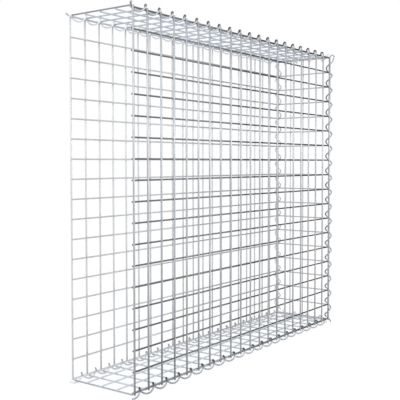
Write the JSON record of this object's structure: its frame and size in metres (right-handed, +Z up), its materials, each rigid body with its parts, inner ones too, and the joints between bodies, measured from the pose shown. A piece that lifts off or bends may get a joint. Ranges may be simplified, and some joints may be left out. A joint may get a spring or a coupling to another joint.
{
  "type": "gabion basket",
  "caption": "Empty welded-mesh gabion basket: a thin upright wire box, open at its left end, whose mesh panels are laced together along their edges by wire spirals.",
  "frame": {"origin": "on the ground, under the middle of the bay's length and depth", "axes": "+X along the wall from the open end to the closed end, +Y from the front mesh to the back mesh, +Z up"},
  "size_m": [1.0222, 0.2364, 0.9274],
  "materials": {
    "mesh_wire": "galvanised, satin",
    "spiral_wire": "galvanised, satin"
  },
  "bodies": {
    "root": {"front_panel": "mesh_wire", "back_panel": "mesh_wire", "end_panel": "mesh_wire", "top_panel": "mesh_wire", "bottom_panel": "mesh_wire", "top_front_spiral": "spiral_wire", "top_back_spiral": "spiral_wire", "bottom_front_spiral": "spiral_wire", "bottom_back_spiral": "spiral_wire", "end_front_spiral": "spiral_wire", "end_back_spiral": "spiral_wire", "end_top_spiral": "spiral_wire", "end_bottom_spiral": "spiral_wire"}
  },
  "joints": []
}
